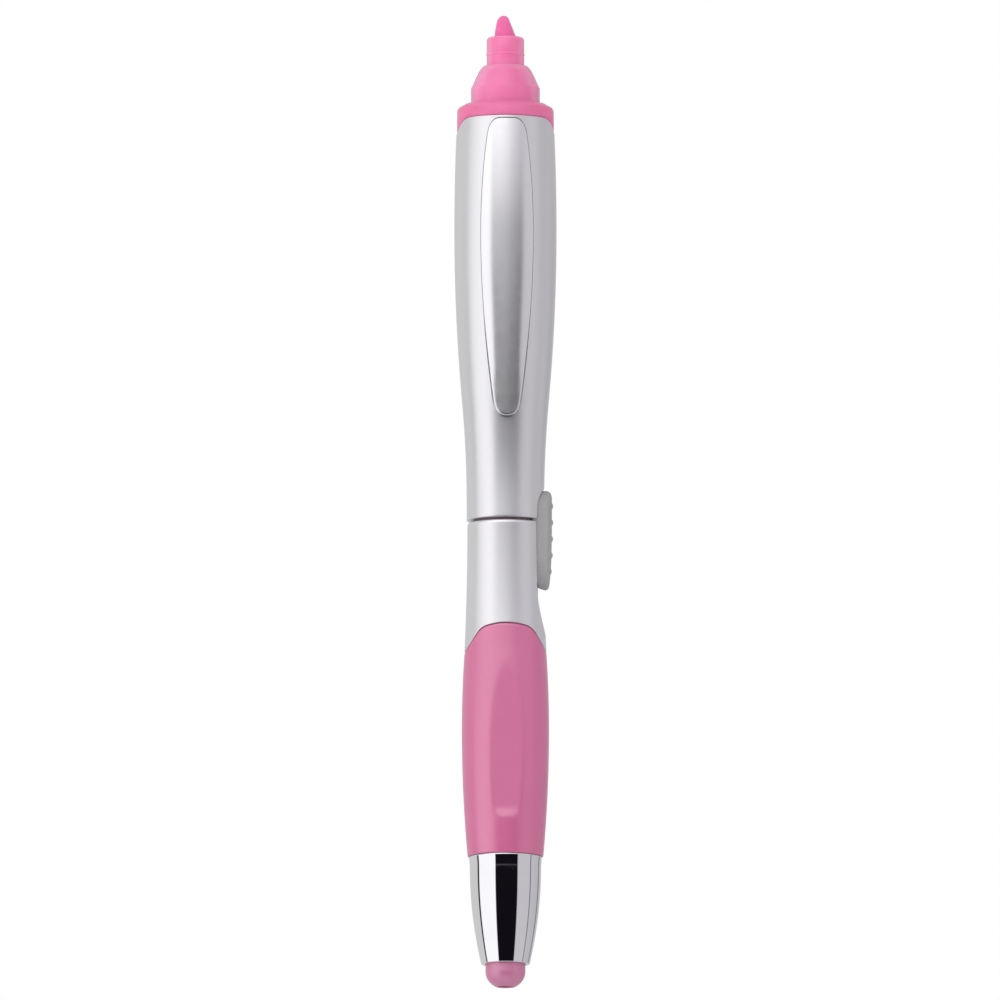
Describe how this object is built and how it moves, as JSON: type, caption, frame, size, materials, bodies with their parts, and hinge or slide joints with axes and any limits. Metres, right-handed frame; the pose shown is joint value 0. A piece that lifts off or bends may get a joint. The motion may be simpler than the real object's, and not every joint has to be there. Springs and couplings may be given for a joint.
{
  "type": "highlighter pen with retractable ballpoint and stylus",
  "caption": "Uncapped highlighter pen: chisel nib at one end, side slider that pushes a ballpoint out through a rubber stylus tip at the other, soft grip and pocket clip.",
  "frame": {"origin": "on the pen's axis, in the plane of the stylus tip's mouth", "axes": "+Z along the pen from the stylus tip to the highlighter nib; the pocket clip faces -Y; the slider is on the +X side"},
  "size_m": [0.0154, 0.0154, 0.147],
  "materials": {
    "silver_lacquer": "silver metallic lacquer on moulded plastic, satin gloss",
    "pink_collar": "moulded pink plastic, semi-gloss",
    "pink_clear": "translucent pink plastic",
    "nib_fibre": "bonded fibre soaked with fluorescent pink ink",
    "reservoir_fibre": "ink-soaked fibre",
    "wrap_film": "clear film",
    "plug_plastic": "moulded plastic",
    "coupler_plastic": "moulded pink plastic",
    "grip_rubber": "soft-touch moulded rubber, matt",
    "nose_chrome": "bright chrome",
    "stylus_rubber": "conductive silicone rubber, matt",
    "bush_plastic": "moulded plastic",
    "spring_steel": "bright spring wire",
    "refill_plastic": "natural plastic tube",
    "ink": "black ballpoint ink",
    "tip_brass": "turned brass",
    "ball_metal": "polished ball",
    "slider_plastic": "grey moulded plastic, fine matt",
    "carrier_plastic": "natural moulded plastic"
  },
  "bodies": {
    "barrel": {"upper_barrel": "silver_lacquer", "collar": "pink_collar", "nib_section": "pink_clear", "highlighter_nib": "nib_fibre", "ink_reservoir": "reservoir_fibre", "reservoir_wrap": "wrap_film", "chamber_plug": "plug_plastic", "coupler": "coupler_plastic", "lower_barrel": "silver_lacquer", "grip": "grip_rubber", "nose_cone": "nose_chrome", "stylus_tip": "stylus_rubber", "tip_bush": "bush_plastic", "return_spring": "spring_steel"},
    "clip": {"clip": "silver_lacquer"},
    "writer": {"slider_button": "slider_plastic", "refill_carrier": "carrier_plastic", "refill_tube": "refill_plastic", "refill_ink": "ink", "refill_tip": "tip_brass"},
    "ball": {"refill_ball": "ball_metal"}
  },
  "joints": [
    {"name": "slider_travel", "type": "slide", "parent": "barrel", "child": "writer", "axis": [0, 0, -1], "range_m": [0, 0.006], "deforming": ["return_spring"]},
    {"name": "clip_flex", "type": "hinge", "parent": "barrel", "child": "clip", "pos_m": [0, -0.00625, 0.1284], "axis": [-1, 0, 0], "range_deg": [0, 4], "stiffness_Nm_per_rad": 0.1},
    {"name": "ball_roll", "type": "hinge", "parent": "writer", "child": "ball", "pos_m": [0, 0, 0.00335], "axis": [1, 0, 0], "continuous": true}
  ]
}
